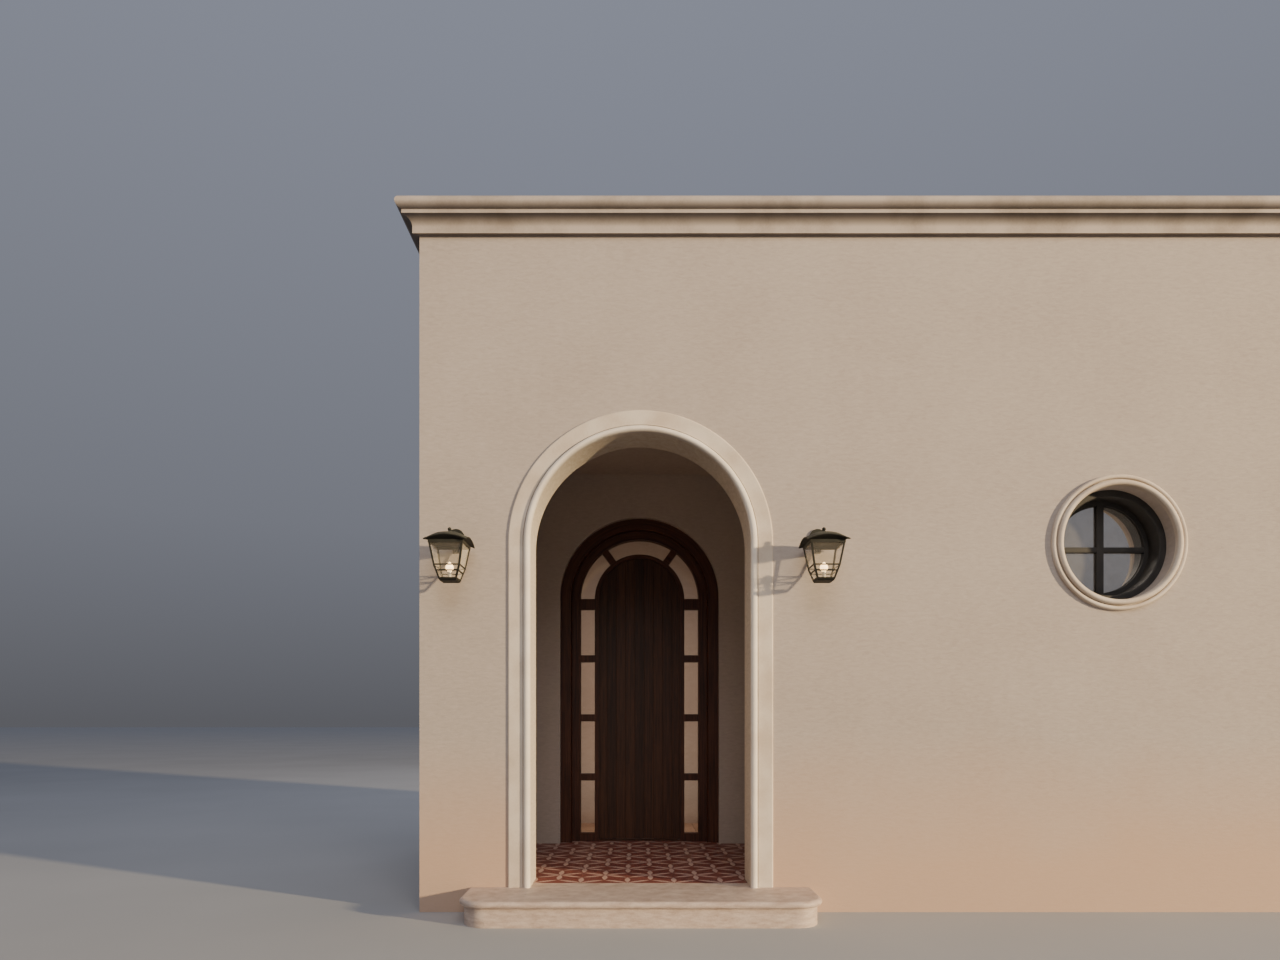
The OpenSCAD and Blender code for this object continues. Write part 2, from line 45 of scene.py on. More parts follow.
# the camera stands level at the photograph's viewing angle, with the lens shifted up
viewing = {"place": (-0.024, -5.95, 1.345), "lens": 23.906, "sensor": 36, "shiftX": 0.0023, "shiftY": 0.1875}
cameraData = bpy.data.cameras.new("camera")
camera = bpy.data.objects.new("camera", cameraData)
bpy.context.scene.collection.objects.link(camera)
cameraData.lens = viewing["lens"]
cameraData.sensor_width = viewing["sensor"]
cameraData.shift_x = viewing["shiftX"]
cameraData.shift_y = viewing["shiftY"]
cameraData.clip_end = 400
camera.location = viewing["place"]
camera.rotation_euler = (math.radians(90), 0, 0)
bpy.context.scene.camera = camera
print("camera set")


def toLinear(hexColour):
    # sRGB hex, as on a colour card, to the linear values that a shader wants
    parts = [int(hexColour[i:i + 2], 16) / 255 for i in (1, 3, 5)]
    return tuple(c / 12.92 if c <= 0.04045 else ((c + 0.055) / 1.055) ** 2.4 for c in parts) + (1.0,)


def perMetre(millimetres):
    return 1000 / millimetres


def addNode(tree, kind, settings):
    # settings name sockets or the node's own options; a node given as a value is linked by its first output
    node = tree.nodes.new("ShaderNode" + kind)
    for key, value in settings.items():
        if key == "stops":
            ramp = node.color_ramp.elements
            while len(ramp) < len(value):
                ramp.new(0.5)
            for element, (position, colour) in zip(ramp, value):
                element.position = position
                element.color = toLinear(colour)
            continue
        if isinstance(value, str) and value.startswith("#"):
            value = toLinear(value)
        if isinstance(value, bpy.types.Node):
            value = value.outputs[0]
        if isinstance(key, str) and key not in node.inputs:
            setattr(node, key, value)
        elif isinstance(value, bpy.types.NodeSocket):
            tree.links.new(value, node.inputs[key])
        else:
            node.inputs[key].default_value = value
    return node


def newMaterial(name):
    material = bpy.data.materials.new(name)
    material.use_nodes = True
    tree = material.node_tree
    tree.nodes.clear()
    coords = addNode(tree, "TexCoord", {}).outputs["Object"]
    return material, tree, coords


def paint(material, *names):
    for name in names:
        mesh = nodes[name].data
        mesh.materials.clear()
        mesh.materials.append(material)


# lime render, floated and trowelled by hand: soft blotches, short level strokes and sandy pits
stucco = {"dark": "#a79b93", "middle": "#b3a79f", "light": "#bdb2aa", "blotch": 900, "stroke": 60, "grain": 9,
          "flatten": 3.4, "strokeDepth": 0.0011, "grainDepth": 0.0005, "paintedGlow": "#c8a78f",
          "paintedGlowLow": 0.6, "paintedGlowHigh": 1.5, "skin": 0.05}
reveal = {"radius": 0.7705, "spring": 2.585, "depth": 0.3195, "dark": "#cabdae", "light": "#dcd0c2",
          "shadeBelow": "#77787c", "undersideShade": 0.6}
stuccoPaint, tree, coords = newMaterial("trowelledLimeRender")
blotch = addNode(tree, "TexNoise", {"Vector": coords, "Scale": perMetre(stucco["blotch"]), "Detail": 5,
                                    "Roughness": 0.6})
flat = addNode(tree, "Mapping", {"Vector": coords, "Scale": (1, 1, stucco["flatten"])})
stroke = addNode(tree, "TexNoise", {"Vector": flat, "Scale": perMetre(stucco["stroke"]), "Detail": 6,
                                    "Roughness": 0.65, "Distortion": 0.6})
grain = addNode(tree, "TexNoise", {"Vector": coords, "Scale": perMetre(stucco["grain"]), "Detail": 3})
weighed = addNode(tree, "Math", {"operation": "MULTIPLY_ADD", 0: stroke, 1: 0.55, 2: 0.12})
tone = addNode(tree, "Math", {"operation": "MULTIPLY_ADD", 0: blotch, 1: 0.35, 2: weighed})
colour = addNode(tree, "ValToRGB", {"Fac": tone, "stops": [
    (0.38, stucco["dark"]), (0.57, stucco["middle"]), (0.76, stucco["light"])]})
axes = addNode(tree, "SeparateXYZ", {"Vector": coords}).outputs
height = axes["Z"]
# painted light: a lighter, warmer colour fades in towards the ground, with soft blotchy edges
glowHeight = addNode(tree, "Math", {"operation": "MULTIPLY_ADD", 0: blotch, 1: 0.5, 2: height})
paintedGlow = addNode(tree, "MapRange", {"Value": glowHeight, "From Min": stucco["paintedGlowLow"],
                                    "From Max": stucco["paintedGlowHigh"], "To Min": 0.75, "To Max": 0.0})
# painted warm light: the outer faces turn lighter and warmer towards the ground, while the porch and the hall
# are left without it
leftX, rightX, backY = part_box("left_wall")[0][0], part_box("right_wall")[1][0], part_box("back_wall")[1][1]
blockMiddle = ((leftX + rightX) / 2, backY / 2, 0)
blockHalf = ((rightX - leftX) / 2 - stucco["skin"], backY / 2 - stucco["skin"], 0)
offset = addNode(tree, "VectorMath", {"operation": "SUBTRACT", 0: coords, 1: blockMiddle})
away = addNode(tree, "VectorMath", {"operation": "ABSOLUTE", 0: offset})
past = addNode(tree, "SeparateXYZ", {"Vector": addNode(
    tree, "VectorMath", {"operation": "SUBTRACT", 0: away, 1: blockHalf})}).outputs
farther = addNode(tree, "Math", {"operation": "MAXIMUM", 0: past["X"], 1: past["Y"]})
outside = addNode(tree, "Math", {"operation": "GREATER_THAN", 0: farther, 1: 0.0})
paintedGlowOutside = addNode(tree, "Math", {"operation": "MULTIPLY", 0: paintedGlow, 1: outside})
withPaintedGlow = addNode(tree, "Mix", {"data_type": "RGBA", 0: paintedGlowOutside, 6: colour, 7: stucco["paintedGlow"]})
# the reveal and soffit of the archway are limewashed like its roll, with painted shade darkening them where
# they face down
above = addNode(tree, "Math", {"operation": "SUBTRACT", 0: height, 1: reveal["spring"]})
crown = addNode(tree, "Math", {"operation": "MAXIMUM", 0: above, 1: 0.0})
fromAxis = addNode(tree, "VectorMath", {"operation": "LENGTH", 0: addNode(
    tree, "CombineXYZ", {"X": axes["X"], "Y": crown})}).outputs["Value"]
within = addNode(tree, "Math", {"operation": "LESS_THAN", 0: fromAxis, 1: reveal["radius"]})
inFront = addNode(tree, "Math", {"operation": "LESS_THAN", 0: axes["Y"], 1: reveal["depth"]})
washed = addNode(tree, "Math", {"operation": "MULTIPLY", 0: within, 1: inFront})
brushed = addNode(tree, "ValToRGB", {"Fac": stroke, "stops": [
    (0.35, reveal["dark"]), (0.65, reveal["light"])]})
facing = addNode(tree, "SeparateXYZ", {"Vector": addNode(tree, "NewGeometry", {}).outputs["Normal"]})
# painted shade: the more a face looks down, the darker it is made
under = addNode(tree, "MapRange", {"Value": facing.outputs["Z"], "From Min": -0.9, "From Max": 0.0,
                                   "To Min": reveal["undersideShade"], "To Max": 0.0})
undersideShaded = addNode(tree, "Mix", {"data_type": "RGBA", "blend_type": "MULTIPLY", 0: under, 6: brushed,
                              7: reveal["shadeBelow"]})
finished = addNode(tree, "Mix", {"data_type": "RGBA", 0: washed, 6: withPaintedGlow.outputs[2],
                                 7: undersideShaded.outputs[2]})
sheen = addNode(tree, "MapRange", {"Value": stroke, "From Min": 0.3, "From Max": 0.7, "To Min": 0.95,
                                   "To Max": 0.8})
strokes = addNode(tree, "Bump", {"Height": stroke, "Strength": 1.0, "Distance": stucco["strokeDepth"]})
sand = addNode(tree, "Bump", {"Height": grain, "Strength": 0.8, "Distance": stucco["grainDepth"],
                              "Normal": strokes})
shader = addNode(tree, "BsdfPrincipled", {"Base Color": finished.outputs[2], "Roughness": sheen,
                                          "Normal": sand, "Specular IOR Level": 0.3})
addNode(tree, "OutputMaterial", {"Surface": shader})
paint(stuccoPaint, *[name for name in nodes if "wall" in name], "terrace_slab")

# plaster mouldings run with a template and limewashed: smooth and faintly clouded, with painted shade
# darkening the faces that look down
lime = {"cloud": 260, "brush": 14, "depth": 0.0003, "shadeBelow": "#8b8c92"}


def limewashed(name, wash):
    material, tree, coords = newMaterial(name)
    cloud = addNode(tree, "TexNoise", {"Vector": coords, "Scale": perMetre(lime["cloud"]), "Detail": 6})
    brush = addNode(tree, "TexNoise", {"Vector": coords, "Scale": perMetre(lime["brush"]), "Detail": 4})
    tone = addNode(tree, "Math", {"operation": "MULTIPLY_ADD", 0: brush, 1: 0.2, 2: cloud})
    colour = addNode(tree, "ValToRGB", {"Fac": tone, "stops": [(0.42, wash["dark"]), (0.72, wash["light"])]})
    facing = addNode(tree, "SeparateXYZ", {"Vector": addNode(tree, "NewGeometry", {}).outputs["Normal"]})
    # painted shade: the more a face looks down, the darker it is made
    under = addNode(tree, "MapRange", {"Value": facing.outputs["Z"], "From Min": -0.9, "From Max": 0.0,
                                       "To Min": wash["undersideShade"], "To Max": 0.0})
    undersideShaded = addNode(tree, "Mix", {"data_type": "RGBA", "blend_type": "MULTIPLY", 0: under, 6: colour,
                                  7: lime["shadeBelow"]})
    worn = addNode(tree, "Bump", {"Height": brush, "Strength": 0.7, "Distance": lime["depth"]})
    shader = addNode(tree, "BsdfPrincipled", {"Base Color": undersideShaded.outputs[2], "Roughness": 0.72,
                                              "Normal": worn, "Specular IOR Level": 0.35})
    addNode(tree, "OutputMaterial", {"Surface": shader})
    return material


corniceWash = limewashed("weatheredLimewashShadedBelow", {"undersideShade": 0.9, "dark": "#9d9085", "light": "#b8aba1"})
bandWash = limewashed("creamLimewash", {"undersideShade": 0.4, "dark": "#c7b7a6", "light": "#dccfc0"})
rollWash = limewashed("whiteLimewash", {"undersideShade": 0.8, "dark": "#e0d3c4", "light": "#efe5d8"})
paint(corniceWash, "cornice_front", "cornice_left", "cornice_right")
paint(bandWash, "arch_band", "window_surround")
paint(rollWash, "arch_roll")

# honed limestone: fine pale grain, level bedding and a few open pores
stone = {"dark": "#ad978a", "light": "#d0beb2", "grain": 7, "bed": 90, "flatten": 4, "pore": 22,
         "poreDepth": 0.0008}
stonePaint, tree, coords = newMaterial("honedLimestone")
level = addNode(tree, "Mapping", {"Vector": coords, "Scale": (1, 1, stone["flatten"])})
bed = addNode(tree, "TexNoise", {"Vector": level, "Scale": perMetre(stone["bed"]), "Detail": 6,
                                 "Roughness": 0.6})
grain = addNode(tree, "TexNoise", {"Vector": coords, "Scale": perMetre(stone["grain"]), "Detail": 3})
pore = addNode(tree, "TexVoronoi", {"Vector": level, "Scale": perMetre(stone["pore"])})
opening = addNode(tree, "MapRange", {"Value": pore, "From Min": 0.05, "From Max": 0.2})
tone = addNode(tree, "Math", {"operation": "MULTIPLY_ADD", 0: grain, 1: 0.35, 2: bed})
colour = addNode(tree, "ValToRGB", {"Fac": tone, "stops": [(0.45, stone["dark"]), (0.85, stone["light"])]})
pitted = addNode(tree, "Bump", {"Height": opening, "Strength": 0.5, "Distance": stone["poreDepth"]})
shader = addNode(tree, "BsdfPrincipled", {"Base Color": colour, "Roughness": 0.55, "Normal": pitted})
addNode(tree, "OutputMaterial", {"Surface": shader})
paint(stonePaint, "step_riser", "step_tread")

# encaustic cement tile, pressed and waxed: pale leaf shapes inlaid in dull red, six meeting at each star
pattern = {"pitch": 0.338, "starX": 0.075, "starY": 0.46, "leafHalf": 0.02, "soft": 0.0008,
           "ground": "#713a32", "groundLight": "#8e564d", "leaf": "#c5a59a", "wear": 120, "press": 9}
rowStep = pattern["pitch"] * math.sqrt(3) / 2
leafLength = pattern["pitch"] / math.sqrt(3)
tilePaint, tree, coords = newMaterial("encausticCementTile")
onPlan = addNode(tree, "VectorMath", {"operation": "MULTIPLY", 0: coords, 1: (1, 1, 0)})
halfCell = (pattern["pitch"] / 2, rowStep, 1)
lattices = []
for shift in ((0, 0), (pattern["pitch"] / 2, rowStep)):  # two square lattices make the triangular one
    moved = addNode(tree, "VectorMath", {"operation": "SUBTRACT", 0: onPlan, 1: (
        pattern["starX"] + shift[0], pattern["starY"] + shift[1], 0)})
    lattices.append(addNode(tree, "VectorMath", {"operation": "WRAP", 0: moved, 1: halfCell,
                                                 2: tuple(-v for v in halfCell)}))
lengths = [addNode(tree, "VectorMath", {"operation": "LENGTH", 0: v}).outputs["Value"] for v in lattices]
second = addNode(tree, "Math", {"operation": "GREATER_THAN", 0: lengths[0], 1: lengths[1]})
nearest = addNode(tree, "Mix", {"data_type": "VECTOR", 0: second, 4: lattices[0], 5: lattices[1]})
reach = addNode(tree, "Math", {"operation": "MINIMUM", 0: lengths[0], 1: lengths[1]})
parts = addNode(tree, "SeparateXYZ", {"Vector": nearest.outputs[1]})
angle = addNode(tree, "Math", {"operation": "ARCTAN2", 0: parts.outputs["Y"], 1: parts.outputs["X"]})
turned = addNode(tree, "Math", {"operation": "SUBTRACT", 0: angle, 1: math.pi / 6})
folded = addNode(tree, "Math", {"operation": "WRAP", 0: turned, 1: math.pi / 6, 2: -math.pi / 6})
along = addNode(tree, "Math", {"operation": "MULTIPLY", 0: reach, 1: addNode(
    tree, "Math", {"operation": "COSINE", 0: folded})})
aside = addNode(tree, "Math", {"operation": "MULTIPLY", 0: reach, 1: addNode(
    tree, "Math", {"operation": "SINE", 0: folded})})
swell = addNode(tree, "Math", {"operation": "SINE", 0: addNode(
    tree, "Math", {"operation": "MULTIPLY", 0: along, 1: math.pi / leafLength})})
half = addNode(tree, "Math", {"operation": "MULTIPLY", 0: swell, 1: pattern["leafHalf"]})
margin = addNode(tree, "Math", {"operation": "SUBTRACT", 0: half, 1: addNode(
    tree, "Math", {"operation": "ABSOLUTE", 0: aside})})
inLeaf = addNode(tree, "MapRange", {"Value": margin, "From Min": -pattern["soft"],
                                    "From Max": pattern["soft"]})
wear = addNode(tree, "TexNoise", {"Vector": coords, "Scale": perMetre(pattern["wear"]), "Detail": 6,
                                  "Roughness": 0.65})
ground = addNode(tree, "Mix", {"data_type": "RGBA", 0: wear, 6: pattern["ground"],
                               7: pattern["groundLight"]})
colour = addNode(tree, "Mix", {"data_type": "RGBA", 0: inLeaf, 6: ground.outputs[2], 7: pattern["leaf"]})
waxed = addNode(tree, "MapRange", {"Value": wear, "From Min": 0.3, "From Max": 0.7, "To Min": 0.35,
                                   "To Max": 0.6})
press = addNode(tree, "TexNoise", {"Vector": coords, "Scale": perMetre(pattern["press"]), "Detail": 3})
pressed = addNode(tree, "Bump", {"Height": press, "Strength": 0.4, "Distance": 0.0002})
shader = addNode(tree, "BsdfPrincipled", {"Base Color": colour.outputs[2], "Roughness": waxed,
                                          "Normal": pressed})
addNode(tree, "OutputMaterial", {"Surface": shader})

# cement mortar in the joints and bedding: dull, sandy and darker than the tiles it holds
mortar = {"dark": "#4d4038", "light": "#7a6a5e", "sand": 6, "depth": 0.0005}
mortarPaint, tree, coords = newMaterial("cementMortar")
sand = addNode(tree, "TexNoise", {"Vector": coords, "Scale": perMetre(mortar["sand"]), "Detail": 4})
colour = addNode(tree, "ValToRGB", {"Fac": sand, "stops": [(0.3, mortar["dark"]), (0.7, mortar["light"])]})
rough = addNode(tree, "Bump", {"Height": sand, "Strength": 0.8, "Distance": mortar["depth"]})
shader = addNode(tree, "BsdfPrincipled", {"Base Color": colour, "Roughness": 0.92, "Normal": rough})
addNode(tree, "OutputMaterial", {"Surface": shader})
paint(mortarPaint, "porch_floor", "hall_floor", "room_floor")


def firedTile(name, tile):
    # clay or cement pressed in a mould: each tile takes its own shade, with specks and a worn face
    material, tree, coords = newMaterial(name)
    half = tile["pitch"] / 2
    laid = addNode(tree, "VectorMath", {"operation": "SUBTRACT", 0: coords,
                                        1: (tile["x"] - half, tile["y"] - half, -1)})
    cell = addNode(tree, "VectorMath", {"operation": "SNAP", 0: laid,  # one cell takes in the whole height
                                        1: (tile["pitch"], tile["pitch"], 50)})
    shade = addNode(tree, "TexWhiteNoise", {"Vector": cell})
    speck = addNode(tree, "TexNoise", {"Vector": coords, "Scale": perMetre(tile["speck"]), "Detail": 5})
    cloud = addNode(tree, "TexNoise", {"Vector": coords, "Scale": perMetre(tile["cloud"]), "Detail": 5})
    mixed = addNode(tree, "Math", {"operation": "MULTIPLY_ADD", 0: speck, 1: 0.35, 2: addNode(
        tree, "Math", {"operation": "MULTIPLY", 0: shade.outputs["Value"], 1: 0.35})})
    tone = addNode(tree, "Math", {"operation": "MULTIPLY_ADD", 0: cloud, 1: 0.4, 2: mixed})
    colour = addNode(tree, "ValToRGB", {"Fac": tone, "stops": [(0.3, tile["dark"]), (0.8, tile["light"])]})
    face = addNode(tree, "Bump", {"Height": speck, "Strength": 0.6, "Distance": 0.0006})
    shader = addNode(tree, "BsdfPrincipled", {"Base Color": colour, "Roughness": tile["roughness"],
                                              "Normal": face})
    addNode(tree, "OutputMaterial", {"Surface": shader})
    return material


def stainedOak(name, wood):
    # oak stained nearly black and oiled: fine long grain, open pores, a low uneven shine
    material, tree, coords = newMaterial(name)
    axes = addNode(tree, "SeparateXYZ", {"Vector": coords})
    rise = addNode(tree, "Math", {"operation": "SUBTRACT", 0: axes.outputs["Z"], 1: wood["spring"]})
    over = addNode(tree, "Math", {"operation": "MAXIMUM", 0: rise, 1: 0.0})
    under = addNode(tree, "Math", {"operation": "MINIMUM", 0: rise, 1: 0.0})
    if wood["bent"]:  # the grain runs up the legs and on around the arch
        side = addNode(tree, "Math", {"operation": "ABSOLUTE", 0: axes.outputs["X"]})
        across = addNode(tree, "VectorMath", {"operation": "LENGTH", 0: addNode(
            tree, "CombineXYZ", {"X": side, "Y": over})}).outputs["Value"]
        turn = addNode(tree, "Math", {"operation": "ARCTAN2", 0: over, 1: side})
        run = addNode(tree, "Math", {"operation": "MULTIPLY_ADD", 0: turn, 1: wood["bend"], 2: under})
        which = addNode(tree, "Math", {"operation": "SIGN", 0: axes.outputs["X"]})
    else:  # each board has its own piece of grain
        across = axes.outputs["X"]
        run = rise
        which = addNode(tree, "Math", {"operation": "FLOOR", 0: addNode(
            tree, "Math", {"operation": "DIVIDE", 0: addNode(tree, "Math", {
                "operation": "ADD", 0: axes.outputs["X"], 1: wood["firstEdge"]}), 1: wood["board"]})})
    shade = addNode(tree, "TexWhiteNoise", {"noise_dimensions": "1D", "W": which})
    shifted = addNode(tree, "Math", {"operation": "MULTIPLY_ADD", 0: shade.outputs["Value"], 1: 7.0, 2: run})
    grainCoords = addNode(tree, "CombineXYZ", {"X": across, "Y": axes.outputs["Y"], "Z": shifted})
    stretched = addNode(tree, "Mapping", {"Vector": grainCoords, "Scale": (1, 1, wood["stretch"])})
    growth = addNode(tree, "TexNoise", {"Vector": stretched, "Scale": perMetre(wood["ring"]), "Detail": 5,
                                        "Roughness": 0.6, "Distortion": 0.4})
    pore = addNode(tree, "TexNoise", {"Vector": stretched, "Scale": perMetre(wood["pore"]), "Detail": 3})
    tone = addNode(tree, "Math", {"operation": "MULTIPLY_ADD", 0: pore, 1: 0.4, 2: growth})
    own = addNode(tree, "Math", {"operation": "MULTIPLY_ADD", 0: shade.outputs["Value"], 1: wood["vary"],
                                 2: tone})
    colour = addNode(tree, "ValToRGB", {"Fac": own, "stops": [
        (0.5, wood["dark"]), (0.72, wood["middle"]), (0.98, wood["light"])]})
    oiled = addNode(tree, "MapRange", {"Value": pore, "From Min": 0.3, "From Max": 0.7, "To Min": 0.36,
                                       "To Max": 0.58})
    figure = addNode(tree, "Bump", {"Height": growth, "Strength": 0.6, "Distance": 0.0006})
    pores = addNode(tree, "Bump", {"Height": pore, "Strength": 0.8, "Distance": 0.0003, "Normal": figure})
    shader = addNode(tree, "BsdfPrincipled", {"Base Color": colour, "Roughness": oiled, "Normal": pores,
                                              "Coat Weight": 0.04, "Coat Roughness": 0.4,
                                              "Specular IOR Level": 0.4})
    addNode(tree, "OutputMaterial", {"Surface": shader})
    return material


doorSpring = 2.513
frameOak = stainedOak("oiledOakFrame", {"bent": True, "spring": doorSpring, "bend": 0.66, "ring": 16,
                                        "pore": 2.2, "stretch": 0.035, "vary": 0.12, "dark": "#2e170e",
                                        "middle": "#48271a", "light": "#623a27"})
planks = {"count": 9, "groove": 0.003, "depth": 0.002}
leafLow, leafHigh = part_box("door_leaf")
boardWidth = (leafHigh[0] - leafLow[0]) / planks["count"]
plankOak = stainedOak("oiledOakBoards", {"bent": False, "spring": doorSpring, "board": boardWidth,
                                         "firstEdge": -leafLow[0], "ring": 13, "pore": 2.2,
                                         "stretch": 0.035, "vary": 0.2, "dark": "#25130a",
                                         "middle": "#3a2114", "light": "#52311d"})
paint(frameOak, "door_casing", "door_frame", "door_jamb", "door_bars", "door_sill")

# clear drawn glass in the door: a trace of bronze in its thickness and a slow wave in its face
drawnGlass = {"tint": "#ede4da", "wave": 220, "smear": 60}
clearPane, tree, coords = newMaterial("drawnClearGlass")
wave = addNode(tree, "TexNoise", {"Vector": coords, "Scale": perMetre(drawnGlass["wave"]), "Detail": 1})
smear = addNode(tree, "TexNoise", {"Vector": coords, "Scale": perMetre(drawnGlass["smear"]), "Detail": 4})
clean = addNode(tree, "MapRange", {"Value": smear, "From Min": 0.3, "From Max": 0.7, "To Min": 0.02,
                                   "To Max": 0.07})
drawn = addNode(tree, "Bump", {"Height": wave, "Strength": 0.4, "Distance": 0.0005})
shader = addNode(tree, "BsdfPrincipled", {"Base Color": drawnGlass["tint"], "Roughness": clean,
                                          "Normal": drawn, "Transmission Weight": 1.0, "IOR": 1.52})
addNode(tree, "OutputMaterial", {"Surface": shader})
paint(clearPane, "door_glass")

# solar-control float glass in the round window: a thin metal film mirrors most of the daylight
mirror = {"film": 0.9, "dark": "#ece4d9", "light": "#f8f1e6", "wave": 300, "dust": 70}
mirrorPane, tree, coords = newMaterial("greySolarGlass")
wave = addNode(tree, "TexNoise", {"Vector": coords, "Scale": perMetre(mirror["wave"]), "Detail": 1})
dust = addNode(tree, "TexNoise", {"Vector": coords, "Scale": perMetre(mirror["dust"]), "Detail": 4})
film = addNode(tree, "ValToRGB", {"Fac": dust, "stops": [(0.3, mirror["dark"]), (0.75, mirror["light"])]})
clean = addNode(tree, "MapRange", {"Value": dust, "From Min": 0.3, "From Max": 0.7, "To Min": 0.03,
                                   "To Max": 0.07})
rolled = addNode(tree, "Bump", {"Height": wave, "Strength": 0.5, "Distance": 0.0004})
shader = addNode(tree, "BsdfPrincipled", {"Base Color": film, "Metallic": mirror["film"], "Roughness": clean,
                                          "Normal": rolled, "Coat Weight": 0.6, "Coat Roughness": 0.02})
addNode(tree, "OutputMaterial", {"Surface": shader})
paint(mirrorPane, "window_glass")


def powderCoat(name, coat):
    # baked powder paint on metal: an even dark coat with orange peel, dust where it faces up, and painted
    # shade below
    material, tree, coords = newMaterial(name)
    peel = addNode(tree, "TexNoise", {"Vector": coords, "Scale": perMetre(coat["peel"]), "Detail": 2})
    patch = addNode(tree, "TexNoise", {"Vector": coords, "Scale": perMetre(coat["patch"]), "Detail": 5})
    up = addNode(tree, "SeparateXYZ", {"Vector": addNode(tree, "NewGeometry", {}).outputs["Normal"]})
    settled = addNode(tree, "MapRange", {"Value": up.outputs["Z"], "From Min": 0.15, "From Max": 0.95,
                                         "To Min": 0.0, "To Max": coat["dust"]})
    dusty = addNode(tree, "Math", {"operation": "MULTIPLY", 0: settled, 1: patch})
    base = addNode(tree, "ValToRGB", {"Fac": patch, "stops": [(0.3, coat["dark"]), (0.7, coat["light"])]})
    # painted shade: faces that look down are darkened towards near black
    shadedBelowMask = addNode(tree, "MapRange", {"Value": up.outputs["Z"], "From Min": -0.6, "From Max": -0.1,
                                       "To Min": coat["shadeBelow"], "To Max": 0.0})
    clean = addNode(tree, "Mix", {"data_type": "RGBA", 0: shadedBelowMask, 6: base, 7: coat["shadeBelowColour"]})
    colour = addNode(tree, "Mix", {"data_type": "RGBA", 0: dusty, 6: clean.outputs[2],
                                   7: coat["dustColour"]})
    rough = addNode(tree, "MapRange", {"Value": patch, "From Min": 0.3, "From Max": 0.7,
                                       "To Min": coat["smooth"], "To Max": coat["smooth"] + 0.15})
    skin = addNode(tree, "Bump", {"Height": peel, "Strength": 0.5, "Distance": 0.0002})
    shader = addNode(tree, "BsdfPrincipled", {"Base Color": colour.outputs[2], "Roughness": rough,
                                              "Normal": skin, "Specular IOR Level": coat["shine"]})
    addNode(tree, "OutputMaterial", {"Surface": shader})
    return material


windowCoat = powderCoat("blackPowderCoat", {
    "peel": 4, "patch": 70, "dust": 0.5, "dustColour": "#6d675f", "shadeBelow": 0.0, "shadeBelowColour": "#060504",
    "smooth": 0.5, "dark": "#232120", "light": "#33302e", "shine": 0.5})
# the lantern coat carries strong painted shade on the faces that look down
lanternCoat = powderCoat("charcoalPowderCoat", {
    "peel": 3, "patch": 70, "dust": 0.5, "dustColour": "#72756a", "shadeBelow": 0.85, "shadeBelowColour": "#060504",
    "smooth": 0.6, "dark": "#24231d", "light": "#37362e", "shine": 0.3})
hingeCoat = powderCoat("darkIronPaint", {
    "peel": 5, "patch": 70, "dust": 0.3, "dustColour": "#6d675f", "shadeBelow": 0.0, "shadeBelowColour": "#060504",
    "smooth": 0.45, "dark": "#191613", "light": "#282420", "shine": 0.5})
paint(windowCoat, "window_frame", "window_sash")
paint(hingeCoat, "door_hinges", "leaf_hinges")
for side in ("left", "right"):
    paint(lanternCoat, f"{side}_lantern_bracket", f"{side}_lantern_cage", f"{side}_lantern_roof")

# clear lantern glass: seen mostly by its edges and the reflections at a flat angle
lampGlass = {"haze": "#f4e9d6", "smear": 35, "smeared": 0.05, "across": 0.02, "along": 0.3}
lampPane, tree, coords = newMaterial("clearLanternGlass")
edge = addNode(tree, "LayerWeight", {"Blend": 0.25})
smear = addNode(tree, "TexNoise", {"Vector": coords, "Scale": perMetre(lampGlass["smear"]), "Detail": 5})
seen = addNode(tree, "MapRange", {"Value": edge.outputs["Facing"], "To Min": lampGlass["across"],
                                  "To Max": lampGlass["along"]})
hazy = addNode(tree, "Math", {"operation": "MULTIPLY_ADD", 0: smear, 1: lampGlass["smeared"], 2: seen})
shader = addNode(tree, "BsdfPrincipled", {"Base Color": lampGlass["haze"], "Roughness": 0.06, "Alpha": hazy})
addNode(tree, "OutputMaterial", {"Surface": shader})
paint(lampPane, "left_lantern_glass", "right_lantern_glass")

# opal glass bulb: frosted inside, so the whole skin glows warm and slightly uneven
bulbGlow = {"glass": "#fff0d8", "light": "#ffcf8e", "strength": 5, "frost": 12}
opalGlass, tree, coords = newMaterial("opalBulbGlass")
frost = addNode(tree, "TexNoise", {"Vector": coords, "Scale": perMetre(bulbGlow["frost"]), "Detail": 3})
glow = addNode(tree, "MapRange", {"Value": frost, "From Min": 0.3, "From Max": 0.7,
                                  "To Min": bulbGlow["strength"] * 0.9, "To Max": bulbGlow["strength"] * 1.1})
shader = addNode(tree, "BsdfPrincipled", {"Base Color": bulbGlow["glass"], "Roughness": 0.25,
                                          "Emission Color": bulbGlow["light"], "Emission Strength": glow})
addNode(tree, "OutputMaterial", {"Surface": shader})

# glazed porcelain lampholder: fired white clay under a clear glaze, a little yellowed by heat
glaze = {"dark": "#cfc2a8", "light": "#ece5d6", "heat": 16}
porcelain, tree, coords = newMaterial("glazedPorcelain")
heat = addNode(tree, "TexNoise", {"Vector": coords, "Scale": perMetre(glaze["heat"]), "Detail": 4})
colour = addNode(tree, "ValToRGB", {"Fac": heat, "stops": [(0.3, glaze["dark"]), (0.7, glaze["light"])]})
shader = addNode(tree, "BsdfPrincipled", {"Base Color": colour, "Roughness": 0.3, "Coat Weight": 0.8,
                                          "Coat Roughness": 0.08})
addNode(tree, "OutputMaterial", {"Surface": shader})

